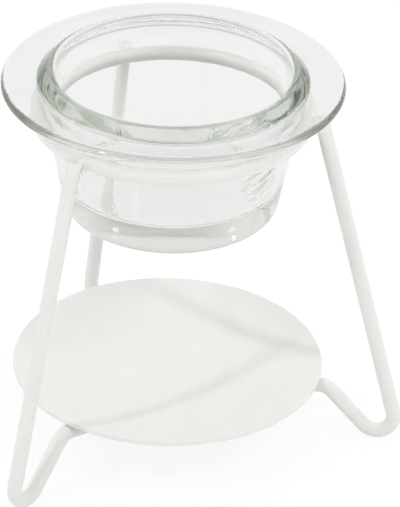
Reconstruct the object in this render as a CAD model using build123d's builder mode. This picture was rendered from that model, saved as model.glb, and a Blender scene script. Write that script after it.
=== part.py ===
from build123d import *

import os
from math import asin, cos, degrees, radians, sin, tan

os.makedirs("parts", exist_ok=True)

# Driving dimensions, in millimetres and degrees.
# The floor is Z = 0, and the stand's upright axis is Z.

# Glass dish: a tapered cup with a flat brim round it and a sloped, raised lip at its mouth
mouth_radius = 37.1
wall_thickness = 4.7
outer_taper = 10.4
inner_taper = 9.5
cup_depth = 40.3
base_thickness = 8.7
brim_width = 10.4
brim_thickness = 2.2
lip_overhang = 0.4
lip_slope = 44.0
lip_round = 1.4
lip_root_round = 0.3
brim_upper_share = 0.72  # shares of the brim's thickness that the rounds of its edge take
brim_lower_share = 0.22
brim_root_round = 1.8
base_round = 4.0
well_round = 2.2

# Wire stand: a ring that the cup hangs in, on three bent legs
wire_diameter = 4.2
ring_height = 99.5
seat_drop = 11.1
seat_clearance = 0.2
seam_width = 0.8
seam_angle = 180.0
leg_lean = 14.8
leg_drop = 0.4
leg_end_round = 0.4
foot_bend_radius = 5.0
strut_angle = 47.0
tail_bend_radius = 5.0
tail_cover = 18.0
leg_sides = ("right", "back", "left")  # in turn about the axis, from +X, evenly spaced

# Candle plate: a thin round sheet, dished from its rim to its middle, on the tails of the three legs
plate_radius = 44.4
plate_thickness = 1.2
plate_height = 19.6
plate_dip = 6.5
plate_edge_round = 0.3

# Welds: spots that fill the small gaps between wire and wire, and between wire and plate
ring_weld_gap = 0.3
ring_weld_diameter = 2.4
plate_weld_gap = 0.2
plate_weld_diameter = 2.8
plate_weld_spots = (0.35, 0.75)  # places along the tail, as shares of its cover

# Largest share of an edge's thickness that a round on it may take
round_share = 0.48

# Levels and radii of the glass dish, which hangs in the ring by its taper
brim_top = ring_height + seat_drop
base_level = brim_top - cup_depth
floor_level = base_level + base_thickness
brim_underside = brim_top - brim_thickness
lip_root = mouth_radius + lip_overhang
lip_reach = wall_thickness + lip_overhang
lip_tip = brim_top + lip_reach / (tan(radians(inner_taper)) + 1 / tan(radians(lip_slope)))
brim_radius = mouth_radius + brim_width
upper_round = brim_upper_share * brim_thickness
lower_round = brim_lower_share * brim_thickness


def outer_wall(level):
    """Radius of the cup's outer wall at a height."""
    return mouth_radius + (level - brim_top) * tan(radians(outer_taper))


def inner_wall(level):
    """Radius of the well's wall at a height."""
    return mouth_radius - wall_thickness + (level - brim_top) * tan(radians(inner_taper))


def upright_plane(angle):
    """Plane through the stand's axis: its X runs outwards at an angle, and its Y runs up."""
    outward = Vector(cos(radians(angle)), sin(radians(angle)), 0)
    return Plane(origin=(0, 0, 0), x_dir=outward, z_dir=outward.cross(Vector(0, 0, 1)))


# Glass dish
with BuildPart() as glass_dish:
    with BuildSketch(Plane.XZ):
        with BuildLine():
            FilletPolyline(
                (0, floor_level),
                (inner_wall(floor_level), floor_level),
                (inner_wall(lip_tip), lip_tip),
                (lip_root, brim_top),
                (brim_radius, brim_top),
                (brim_radius, brim_underside),
                (outer_wall(brim_underside), brim_underside),
                (outer_wall(base_level), base_level),
                (0, base_level),
                radius=[
                    well_round,
                    lip_round,
                    lip_root_round,
                    upper_round,
                    lower_round,
                    brim_root_round,
                    base_round,
                ],
            )
            Line((0, base_level), (0, floor_level))
        make_face()
    revolve(axis=Axis.Z)
glass_dish.part.label = "glass_dish"
export_step(glass_dish.part, "parts/glass_dish.step")

# Support ring: wire bent round to where the cup's taper rests on it, closed by a butt weld
wire_radius = wire_diameter / 2
ring_radius = outer_wall(ring_height) + (wire_radius + seat_clearance) / cos(radians(outer_taper))
seam_span = degrees(seam_width / ring_radius)

with BuildPart() as support_ring:
    with BuildSketch(upright_plane(seam_angle + seam_span / 2)):
        with Locations((ring_radius, ring_height)):
            Circle(wire_radius)
    revolve(axis=Axis.Z, revolution_arc=360 - seam_span)
support_ring.part.label = "support_ring"
export_step(support_ring.part, "parts/support_ring.step")

with BuildPart() as ring_seam_weld:
    with BuildSketch(upright_plane(seam_angle - seam_span / 2)):
        with Locations((ring_radius, ring_height)):
            Circle(wire_radius)
    revolve(axis=Axis.Z, revolution_arc=seam_span)
ring_seam_weld.part.label = "ring_seam_weld"
export_step(ring_seam_weld.part, "parts/ring_seam_weld.step")

# Candle plate, a shallow piece of a ball's shell
bowl_radius = (plate_radius**2 + plate_dip**2) / (2 * plate_dip)
bowl_centre = plate_height - plate_dip + bowl_radius
bowl_half_angle = degrees(asin(plate_radius / bowl_radius))

with BuildPart() as candle_plate:
    with BuildSketch(Plane.XZ) as plate_section:
        with BuildLine():
            upper = CenterArc((0, bowl_centre), bowl_radius, 270, bowl_half_angle)
            lower = CenterArc((0, bowl_centre), bowl_radius + plate_thickness, 270, bowl_half_angle)
            Line(upper @ 0, lower @ 0)
            Line(upper @ 1, lower @ 1)
        make_face()
        fillet(
            plate_section.vertices().sort_by(Axis.X)[-2:],
            radius=min(plate_edge_round, round_share * plate_thickness),
        )
    revolve(axis=Axis.Z)
candle_plate.part.label = "candle_plate"
export_step(candle_plate.part, "parts/candle_plate.step")

# Route of a leg's wire, as distance from the axis and height: down and out along the lean from beside
# the ring, round the foot, up along the strut, and in along the plate's underside
crossing_reach = wire_diameter + ring_weld_gap
leg_radius = ring_radius + crossing_reach / cos(radians(leg_lean))
leg_top = ring_height + wire_radius - leg_drop
foot_turn = 90 + leg_lean + strut_angle
foot_corner_drop = foot_bend_radius * tan(radians(foot_turn / 2)) * cos(radians(leg_lean))
foot_start_level = wire_radius + foot_bend_radius * (1 + sin(radians(leg_lean)))
foot_corner_level = foot_start_level - foot_corner_drop
tail_middle = plate_radius - tail_cover / 2
tail_reach = bowl_radius + plate_thickness + plate_weld_gap + wire_radius
tail_slope = degrees(asin(tail_middle / tail_reach))
tail_level = bowl_centre - tail_reach * cos(radians(tail_slope))


def leg_line(level):
    """Distance of the straight leg's centre line from the axis at a height."""
    return leg_radius + (ring_height - level) * tan(radians(leg_lean))


def tail_line(distance):
    """Height of the tail's centre line at a distance from the axis."""
    return tail_level + (distance - tail_middle) * tan(radians(tail_slope))


foot_corner_place = leg_line(foot_corner_level)
tail_corner_place = foot_corner_place - (tail_line(foot_corner_place) - foot_corner_level) / (
    tan(radians(strut_angle)) + tan(radians(tail_slope))
)
tail_end_place = plate_radius - tail_cover
plate_weld_places = [plate_radius - tail_cover * spot for spot in plate_weld_spots]

# Legs, with the welds that hold each of them to the ring and to the plate
for turn, side in enumerate(leg_sides):
    leg_plane = upright_plane(turn * 360 / len(leg_sides))

    with BuildPart() as leg:
        with BuildLine(leg_plane) as route:
            FilletPolyline(
                (leg_line(leg_top), leg_top),
                (foot_corner_place, foot_corner_level),
                (tail_corner_place, tail_line(tail_corner_place)),
                (tail_end_place, tail_line(tail_end_place)),
                radius=[foot_bend_radius, tail_bend_radius],
            )
        with BuildSketch(route.line ^ 0):
            Circle(wire_radius)
        sweep(path=route.line)
        fillet(leg.faces().sort_by(Axis.Z)[-1].edges(), radius=leg_end_round)
    leg.part.label = f"leg_{side}"
    export_step(leg.part, f"parts/leg_{side}.step")

    crossing = leg_plane.from_local_coords((ring_radius, ring_height))
    towards_leg = leg_plane.from_local_coords((cos(radians(leg_lean)), sin(radians(leg_lean))))
    with BuildPart() as ring_weld:
        with BuildSketch(Plane(origin=crossing, z_dir=towards_leg)):
            Circle(ring_weld_diameter / 2)
        extrude(amount=crossing_reach - wire_radius / 2)
        add(support_ring.part, mode=Mode.SUBTRACT)
        add(leg.part, mode=Mode.SUBTRACT)
    ring_weld.part.label = f"ring_weld_{side}"
    export_step(ring_weld.part, f"parts/ring_weld_{side}.step")

    towards_plate = leg_plane.from_local_coords((-sin(radians(tail_slope)), cos(radians(tail_slope))))
    spots = [leg_plane.from_local_coords((place, tail_line(place))) for place in plate_weld_places]
    with BuildPart() as plate_weld:
        with BuildSketch(*[Plane(origin=spot, z_dir=towards_plate) for spot in spots]):
            Circle(plate_weld_diameter / 2)
        extrude(amount=wire_radius + plate_weld_gap + plate_thickness / 2)
        add(candle_plate.part, mode=Mode.SUBTRACT)
        add(leg.part, mode=Mode.SUBTRACT)
    plate_weld.part.label = f"plate_weld_{side}"
    export_step(plate_weld.part, f"parts/plate_weld_{side}.step")
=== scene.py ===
from math import ceil, cos, pi, radians, sin, tan

import bpy
from mathutils import Matrix, Vector


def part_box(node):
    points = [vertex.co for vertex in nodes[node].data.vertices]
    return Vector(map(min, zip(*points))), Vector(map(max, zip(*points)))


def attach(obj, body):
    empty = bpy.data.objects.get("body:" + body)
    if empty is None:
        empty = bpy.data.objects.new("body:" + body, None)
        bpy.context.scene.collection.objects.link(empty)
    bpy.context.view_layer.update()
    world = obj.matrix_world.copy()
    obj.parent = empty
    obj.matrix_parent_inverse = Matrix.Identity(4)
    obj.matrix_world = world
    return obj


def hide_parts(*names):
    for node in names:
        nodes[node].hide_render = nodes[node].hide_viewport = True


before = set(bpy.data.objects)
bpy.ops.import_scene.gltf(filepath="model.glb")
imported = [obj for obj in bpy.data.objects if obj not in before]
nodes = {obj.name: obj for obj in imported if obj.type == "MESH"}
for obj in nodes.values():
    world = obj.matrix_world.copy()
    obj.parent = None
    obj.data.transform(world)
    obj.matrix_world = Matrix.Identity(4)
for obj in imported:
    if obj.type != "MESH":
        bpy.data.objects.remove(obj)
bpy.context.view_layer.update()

MM = 0.001
WHITE = (1, 1, 1, 1)

# Sizes of the glass dish that the frame's box doesn't give, in millimetres and degrees
MOUTH_RADIUS = 37.1
WALL_THICKNESS = 4.7
OUTER_TAPER = 10.4
INNER_TAPER = 9.5
BASE_THICKNESS = 8.7
BRIM_TOP = 110.6
BRIM_THICKNESS = 2.2
LIP_OVERHANG = 0.4
LIP_SLOPE = 44.0
LIP_ROUND = 1.4
LIP_ROOT_ROUND = 0.3
BRIM_UPPER_ROUND = 0.72 * BRIM_THICKNESS
BRIM_LOWER_ROUND = 0.22 * BRIM_THICKNESS
BRIM_ROOT_ROUND = 1.8
BASE_ROUND = 4.0
WELL_ROUND = 2.2

# How finely the dish is divided: steps round its axis and on each round, and the longest step along a run
DISH_TURNS = 288
ROUND_STEPS = 10
LONGEST_STEP = 1.5

# Every noise is given as its scale, per metre, and its finer detail. This is the middle of its values.
NOISE_MIDDLE = 0.5

# The glass: how much it bends light, its tint and how dense that is, the depth of its waves and ripples in
# millimetres, and the light that it lets through to what lies in its shade, straight on and how much less
# at a slant
GLASS_IOR = 1.5
GLASS_TINT = (0.814, 0.843, 0.795, 1)
GLASS_DENSITY = 18.0
WAVE_NOISE = (60.0, 1.0)
WAVE_DEPTH = 0.2
RIPPLE_NOISE = (600.0, 2.0)
RIPPLE_DEPTH = 0.018
RIPPLE_STRETCH = (1, 1, 0.3)
SHADE_CLEAR = 0.99
SHADE_SLANT = 0.5

# The streaks, a patch of slanted folds on the right of the cup's wall: their turn from +X and slant in
# degrees, their height and depth in millimetres, how far they are drawn out, and the distances from the
# patch's middle, in metres, where it starts to fade and where it ends
STREAK_TURN = -35.0
STREAK_SLANT = 13.0
STREAK_LEVEL = 90.5
STREAK_NOISE = (500.0, 2.0)
STREAK_DEPTH = 1.0
STREAK_STRETCH = 0.22
STREAK_EDGE = (0.003, 0.011)

# The paint: the darkest and palest white of its clouding, the clouds' share in that beside the grain's, how
# rough it is and how much rougher in its clouds, and its orange peel, with the depth in millimetres
PAINT_IOR = 1.48
PAINT_DARK = (0.775, 0.78, 0.75, 1)
PAINT_PALE = (0.845, 0.85, 0.825, 1)
CLOUD_NOISE = (90.0, 3.0)
CLOUD_SHARE = 0.6
GRAIN_NOISE = (1600.0, 2.0)
PAINT_ROUGHNESS = 0.36
PAINT_ROUGHER = 0.2
PEEL_STRENGTH = 0.25
PEEL_DEPTH = 0.1

# The camera, found from the outlines of the rings, plate and legs in the picture, in millimetres and degrees
VIEW_TURN = 8.27
VIEW_HEIGHT = 30.478
VIEW_ROLL = 1.53
VIEW_DISTANCE = 927.8
VIEW_SIDE = 8.557
VIEW_LEVEL = 54.438
LENS = 232.28
SENSOR_WIDTH = 36.0

# The two small soft lamps in front: turn from +X, height and size in degrees, and power in watts.
# Their distance, and the height that they are turned to, are in metres.
LAMPS = {"left_lamp": (226, 45, 4.0, 2.9), "right_lamp": (326, 47, 4.0, 3.0)}
LAMP_DISTANCE = 1.4
LAMP_AIM = 0.05

# The soft fill from all round, and how much more of it comes from the back and the top
FILL = 0.78
FILL_BACK = 0.55
FILL_TOP = 0.35

# What glass and gloss see: a pale sweep below, and above it a dimmer ceiling, bright sides and a dark room
# in front. An edge is where one goes over into the next, as parts of a direction of length 1, and in front
# the drop brings the room's edge lower than the ceiling's.
SWEEP = 0.87
CEILING = 0.59
SIDES = 0.91
ROOM = 0.12
CEILING_EDGE = (0.35, 0.6)
SIDES_EDGE = (0.2, 0.6)
ROOM_EDGE = (-0.75, -0.25)
ROOM_DROP = 0.2

# The floor: half its width in metres, its white, and how much of what is seen of it doesn't take the shadow
FLOOR_REACH = 6.0
FLOOR_WHITE = (0.97, 0.97, 0.97, 1)
FLOOR_GLOW = 0.86

# How often light may turn on its way through the thick glass
LIGHT_TURNS = 48

# Places of a Mix node's colour sockets
MIX_SHARE, MIX_FIRST, MIX_SECOND, MIX_RESULT = 0, 6, 7, 2


class Socket:
    """An output of a node. Sums and products of sockets add the Math nodes that work them out."""

    def __init__(self, output):
        self.output = output

    def math(self, operation, *values):
        tree = Tree(self.output.id_data)
        return tree.node("ShaderNodeMath", {"operation": operation}, dict(enumerate(values)))

    def __add__(self, other):
        return self.math("ADD", self, other)

    def __sub__(self, other):
        return self.math("SUBTRACT", self, other)

    def __rsub__(self, other):
        return self.math("SUBTRACT", other, self)

    def __mul__(self, other):
        return self.math("MULTIPLY", self, other)

    def __abs__(self):
        return self.math("ABSOLUTE", self)

    __radd__ = __add__
    __rmul__ = __mul__


class Tree:
    """A node tree. node() sets a new node's settings, then its sockets, and gives back one output."""

    def __init__(self, tree):
        self.tree = tree

    def node(self, kind, settings=None, sockets=None, out=0):
        made = self.tree.nodes.new(kind)
        for name, value in (settings or {}).items():
            setattr(made, name, value)
        for name, value in (sockets or {}).items():
            if isinstance(value, Socket):
                self.tree.links.new(value.output, made.inputs[name])
            else:
                made.inputs[name].default_value = value
        return Socket(made.outputs[out]) if made.outputs else made


def new_finish(name):
    """A new material and its empty tree."""
    material = bpy.data.materials.new(name)
    material.use_nodes = True
    material.node_tree.nodes.clear()
    return material, Tree(material.node_tree)


def rays(tree, *kinds):
    """1 for a ray of any of the named kinds, and 0 for the others."""
    first, *others = [tree.node("ShaderNodeLightPath", out=f"Is {kind} Ray") for kind in kinds]
    for other in others:
        first = first.math("MAXIMUM", first, other)
    return first


def smooth(tree, value, start, end):
    """From 0 to 1, softly, as a value goes from a start to an end."""
    return tree.node(
        "ShaderNodeMapRange",
        {"interpolation_type": "SMOOTHSTEP"},
        {"Value": value, "From Min": start, "From Max": end},
    )


def noise(tree, place, scale, detail):
    """A soft noise between 0 and 1."""
    return tree.node("ShaderNodeTexNoise", None, {"Vector": place, "Scale": scale, "Detail": detail})


def outer_wall(level):
    """Radius of the cup's outer wall at a height."""
    return MOUTH_RADIUS + (level - BRIM_TOP) * tan(radians(OUTER_TAPER))


def inner_wall(level):
    """Radius of the well's wall at a height."""
    return MOUTH_RADIUS - WALL_THICKNESS + (level - BRIM_TOP) * tan(radians(INNER_TAPER))


def white_paint():
    """Satin white powder coat: a fine orange peel, with faint clouding of its colour and gloss."""
    material, tree = new_finish("white_paint")
    place = tree.node("ShaderNodeTexCoord", out="Object")
    clouds = noise(tree, place, *CLOUD_NOISE)
    grain = noise(tree, place, *GRAIN_NOISE)
    paler = clouds * CLOUD_SHARE + grain * (1 - CLOUD_SHARE)
    colour = tree.node(
        "ShaderNodeMix",
        {"data_type": "RGBA"},
        {MIX_SHARE: paler, MIX_FIRST: PAINT_DARK, MIX_SECOND: PAINT_PALE},
        out=MIX_RESULT,
    )
    roughness = PAINT_ROUGHNESS + clouds * PAINT_ROUGHER
    peel = tree.node(
        "ShaderNodeBump",
        None,
        {"Strength": PEEL_STRENGTH, "Distance": PEEL_DEPTH * MM, "Height": grain},
    )
    coat = tree.node(
        "ShaderNodeBsdfPrincipled",
        None,
        {"Base Color": colour, "Roughness": roughness, "Normal": peel, "IOR": PAINT_IOR},
    )
    tree.node("ShaderNodeOutputMaterial", None, {"Surface": coat})
    return material


def streaks(tree, place):
    """Slanted folds in the pressed glass, in one patch on the right of the cup's wall."""
    turn, slant = radians(STREAK_TURN), radians(STREAK_SLANT)
    outward = Vector((cos(turn), sin(turn), 0))
    sideways = Vector((-sin(turn), cos(turn), 0))
    up = Vector((0, 0, 1))
    middle = (outward * outer_wall(STREAK_LEVEL) + up * STREAK_LEVEL) * MM
    ways = (sideways * cos(slant) + up * sin(slant), up * cos(slant) - sideways * sin(slant))
    along, athwart = (
        tree.node("ShaderNodeVectorMath", {"operation": "DOT_PRODUCT"}, {0: place, 1: way}, out="Value")
        for way in ways
    )
    drawn = tree.node("ShaderNodeCombineXYZ", None, {0: along * STREAK_STRETCH, 1: athwart})
    folds = noise(tree, drawn, *STREAK_NOISE)
    away = tree.node("ShaderNodeVectorMath", {"operation": "DISTANCE"}, {0: place, 1: middle}, out="Value")
    return (folds - NOISE_MIDDLE) * (1 - smooth(tree, away, *STREAK_EDGE))


def clear_glass():
    """Clear pressed glass: soft waves, fine upright ripples, streaks, and a faint green where it is thick."""
    material, tree = new_finish("clear_glass")
    place = tree.node("ShaderNodeTexCoord", out="Object")
    upright = tree.node("ShaderNodeMapping", None, {"Vector": place, "Scale": RIPPLE_STRETCH})
    waves = noise(tree, place, *WAVE_NOISE)
    ripples = noise(tree, upright, *RIPPLE_NOISE)
    height = waves * WAVE_DEPTH + ripples * RIPPLE_DEPTH + streaks(tree, place) * STREAK_DEPTH
    pressed = tree.node("ShaderNodeBump", None, {"Strength": 1.0, "Distance": MM, "Height": height})
    glass = tree.node(
        "ShaderNodeBsdfPrincipled",
        None,
        {
            "Base Color": WHITE,
            "Roughness": 0.0,
            "IOR": GLASS_IOR,
            "Transmission Weight": 1.0,
            "Normal": pressed,
        },
    )
    clear = tree.node("ShaderNodeBsdfTransparent", None, {"Color": WHITE})
    slant = tree.node("ShaderNodeLayerWeight", out="Facing")
    shade = rays(tree, "Shadow") * (SHADE_CLEAR - slant * SHADE_SLANT)
    surface = tree.node("ShaderNodeMixShader", None, {0: shade, 1: glass, 2: clear})
    body = tree.node("ShaderNodeVolumeAbsorption", None, {"Color": GLASS_TINT, "Density": GLASS_DENSITY})
    tree.node("ShaderNodeOutputMaterial", None, {"Surface": surface, "Volume": body})
    return material


def placed(name, data):
    """A new object in the scene."""
    made = bpy.data.objects.new(name, data)
    bpy.context.collection.objects.link(made)
    return made


def rounded(corners):
    """Points along an outline of corners (x, y, round), with an arc at each of them but the two ends."""
    places = [Vector((x, y)) for x, y, _ in corners]
    points = [places[0]]
    for before, corner, after, (_, _, radius) in zip(places, places[1:], places[2:], corners[1:]):
        back = (before - corner).normalized()
        onward = (after - corner).normalized()
        half = back.angle(onward) / 2
        middle = corner + (back + onward).normalized() * (radius / sin(half))
        start = corner + back * (radius / tan(half)) - middle
        end = corner + onward * (radius / tan(half)) - middle
        turn = start.angle(end)
        for step in range(ROUND_STEPS + 1):
            share = step / ROUND_STEPS
            spoke = (start * sin((1 - share) * turn) + end * sin(share * turn)) / sin(turn)
            points.append(middle + spoke)
    return points + [places[-1]]


def spaced(points):
    """The same outline with its long runs cut into even steps."""
    out = points[:1]
    for start, end in zip(points, points[1:]):
        cuts = ceil((end - start).length / LONGEST_STEP)
        out += [start.lerp(end, cut / cuts) for cut in range(1, cuts + 1)]
    return out


def lathe(name, outline, turns):
    """A closed mesh turned about Z from an outline (radius, height) whose two ends lie on the axis."""
    rings = outline[1:-1]
    vertices = [(0, 0, outline[0].y)]
    for radius, level in rings:
        for turn in range(turns):
            angle = 2 * pi * turn / turns
            vertices.append((radius * cos(angle), radius * sin(angle), level))
    vertices.append((0, 0, outline[-1].y))
    end = len(vertices) - 1
    faces = []
    for turn in range(turns):
        after = (turn + 1) % turns
        faces.append((0, 1 + turn, 1 + after))
        faces.append((end, end - turns + after, end - turns + turn))
        for ring in range(len(rings) - 1):
            low, high = 1 + ring * turns, 1 + (ring + 1) * turns
            faces.append((low + turn, high + turn, high + after, low + after))
    mesh = bpy.data.meshes.new(name)
    mesh.from_pydata(vertices, [], faces)
    mesh.polygons.foreach_set("use_smooth", [True] * len(faces))
    mesh.update()
    return placed(name, mesh)


def dish_outline():
    """The dish's section, from the middle of the well's floor over the lip and brim to that of the base."""
    low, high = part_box("glass_dish")
    base = low.z / MM
    well_floor = base + BASE_THICKNESS
    brim_radius = min(high.x, -low.x) / MM
    brim_under = BRIM_TOP - BRIM_THICKNESS
    lip_reach = WALL_THICKNESS + LIP_OVERHANG
    lip_tip = BRIM_TOP + lip_reach / (tan(radians(INNER_TAPER)) + 1 / tan(radians(LIP_SLOPE)))
    corners = [
        (0, well_floor, 0),
        (inner_wall(well_floor), well_floor, WELL_ROUND),
        (inner_wall(lip_tip), lip_tip, LIP_ROUND),
        (MOUTH_RADIUS + LIP_OVERHANG, BRIM_TOP, LIP_ROOT_ROUND),
        (brim_radius, BRIM_TOP, BRIM_UPPER_ROUND),
        (brim_radius, brim_under, BRIM_LOWER_ROUND),
        (outer_wall(brim_under), brim_under, BRIM_ROOT_ROUND),
        (outer_wall(base), base, BASE_ROUND),
        (0, base, 0),
    ]
    return [point * MM for point in spaced(rounded(corners))]


def glass_dish(glass):
    """The loose dish, turned finely enough that no facet shows through the glass."""
    dish = lathe("dish", dish_outline(), DISH_TURNS)
    dish.data.materials.append(glass)
    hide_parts("glass_dish")
    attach(dish, "dish")


def wire_stand(paint):
    """The ring, legs, welds and candle plate, all under one coat of paint."""
    for name, node in nodes.items():
        if name != "glass_dish":
            node.data.materials.clear()
            node.data.materials.append(paint)
            node.data.polygons.foreach_set("use_smooth", [True] * len(node.data.polygons))


def floor():
    """A white floor that keeps the object's shadow."""
    mesh = bpy.data.meshes.new("floor")
    corners = [(-1, -1), (1, -1), (1, 1), (-1, 1)]
    mesh.from_pydata([(x * FLOOR_REACH, y * FLOOR_REACH, 0) for x, y in corners], [], [(0, 1, 2, 3)])
    piece = placed("floor", mesh)
    material, tree = new_finish("floor_white")
    white = SWEEP + rays(tree, "Camera") * (1 - SWEEP)
    matt = tree.node("ShaderNodeBsdfDiffuse", None, {"Color": FLOOR_WHITE})
    glow = tree.node("ShaderNodeEmission", None, {"Color": white, "Strength": 1.0})
    seen = rays(tree, "Camera", "Glossy", "Transmission") * FLOOR_GLOW
    mixed = tree.node("ShaderNodeMixShader", None, {0: seen, 1: matt, 2: glow})
    tree.node("ShaderNodeOutputMaterial", None, {"Surface": mixed})
    mesh.materials.append(material)


def studio():
    """White for the camera, soft fill for the paint, and a pale sweep in a dark room for glass and gloss."""
    world = bpy.data.worlds.new("studio")
    bpy.context.scene.world = world
    world.use_nodes = True
    world.node_tree.nodes.clear()
    tree = Tree(world.node_tree)
    direction = tree.node("ShaderNodeTexCoord", out="Generated")
    across, ahead, above = (
        tree.node("ShaderNodeSeparateXYZ", None, {0: direction}, out=axis) for axis in "XYZ"
    )
    behind = smooth(tree, ahead, *ROOM_EDGE)
    aside = smooth(tree, abs(across), *SIDES_EDGE)
    height = smooth(tree, above + (1 - behind) * ROOM_DROP, *CEILING_EDGE)
    ceiling = ROOM + behind * (CEILING - ROOM)
    upper = ceiling + aside * behind * (SIDES - ceiling)
    room = SWEEP + height * (upper - SWEEP)
    fill = FILL * (1 + FILL_BACK * ahead + FILL_TOP * above)
    shown = rays(tree, "Camera")
    mirrored = rays(tree, "Glossy", "Transmission")
    strength = shown + (1 - shown) * (mirrored * room + (1 - mirrored) * fill)
    light = tree.node("ShaderNodeBackground", None, {"Color": WHITE, "Strength": strength})
    tree.node("ShaderNodeOutputWorld", None, {"Surface": light})


def lamps():
    """The two small soft lamps, turned to the middle of the object."""
    middle = Vector((0, 0, LAMP_AIM))
    for name, (turn, height, spread, power) in LAMPS.items():
        data = bpy.data.lights.new(name, "AREA")
        data.shape = "DISK"
        data.size = 2 * LAMP_DISTANCE * tan(radians(spread / 2))
        data.energy = power
        lamp = placed(name, data)
        bearing, rise = radians(turn), radians(height)
        away = Vector((cos(bearing) * cos(rise), sin(bearing) * cos(rise), sin(rise)))
        lamp.location = middle + away * LAMP_DISTANCE
        lamp.rotation_euler = away.to_track_quat("Z", "Y").to_euler()


def camera():
    """The camera, in front of the object and a little above it, as the picture was taken."""
    bearing, rise, roll = radians(VIEW_TURN), radians(VIEW_HEIGHT), radians(VIEW_ROLL)
    back = Vector((sin(bearing) * cos(rise), -cos(bearing) * cos(rise), sin(rise)))
    right = Vector((cos(bearing), sin(bearing), 0))
    up = back.cross(right)
    aim = right * VIEW_SIDE + Vector((0, 0, VIEW_LEVEL))
    across = right * cos(roll) + up * sin(roll)
    upward = up * cos(roll) - right * sin(roll)
    data = bpy.data.cameras.new("camera")
    data.lens = LENS
    data.sensor_width = SENSOR_WIDTH
    seat = placed("camera", data)
    facing = Matrix((across, upward, back)).transposed().to_4x4()
    seat.matrix_world = Matrix.Translation((aim + back * VIEW_DISTANCE) * MM) @ facing
    bpy.context.scene.camera = seat


glass_dish(clear_glass())
wire_stand(white_paint())
floor()
studio()
lamps()
camera()
bpy.context.scene.view_settings.view_transform = "Standard"
paths = bpy.context.scene.cycles
paths.max_bounces = paths.glossy_bounces = paths.transmission_bounces = LIGHT_TURNS
